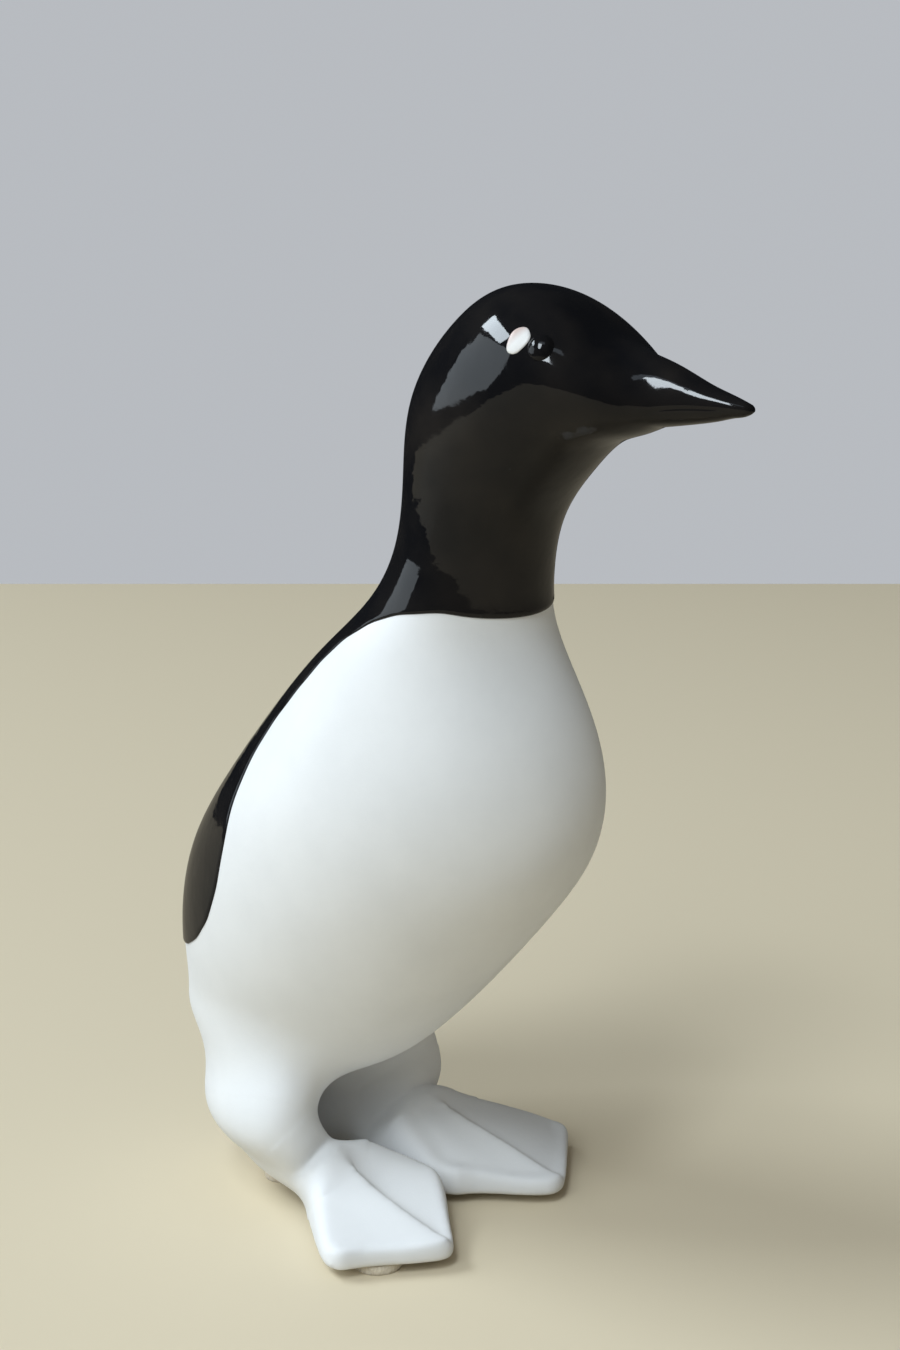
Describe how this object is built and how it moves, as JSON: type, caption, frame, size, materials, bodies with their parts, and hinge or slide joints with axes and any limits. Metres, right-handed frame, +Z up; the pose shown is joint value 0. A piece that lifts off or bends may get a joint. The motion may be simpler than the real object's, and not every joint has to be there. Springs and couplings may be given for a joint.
{
  "type": "penguin figurine",
  "caption": "Standing sea bird ornament in white bisque with a black glazed hood and back, bead eyes, webbed feet and felt pads.",
  "frame": {"origin": "centre of the figure's plan box, on the surface that the pads stand on", "axes": "+Z up, the bird faces -Y, its left side is +X"},
  "size_m": [0.0628, 0.1027, 0.15],
  "materials": {
    "bisque": "unglazed matte white bisque",
    "black_glaze": "high gloss black glaze",
    "eye_bead": "glossy black bead",
    "eye_enamel": "satin off-white enamel",
    "felt": "cream pressed felt"
  },
  "bodies": {
    "root": {"body_casting": "bisque", "head_casting": "bisque", "left_foot": "bisque", "right_foot": "bisque", "black_glaze": "black_glaze", "left_eye": "eye_bead", "right_eye": "eye_bead", "left_eye_patch": "eye_enamel", "right_eye_patch": "eye_enamel", "left_toe_pad": "felt", "right_toe_pad": "felt", "left_heel_pad": "felt", "right_heel_pad": "felt"}
  },
  "joints": []
}
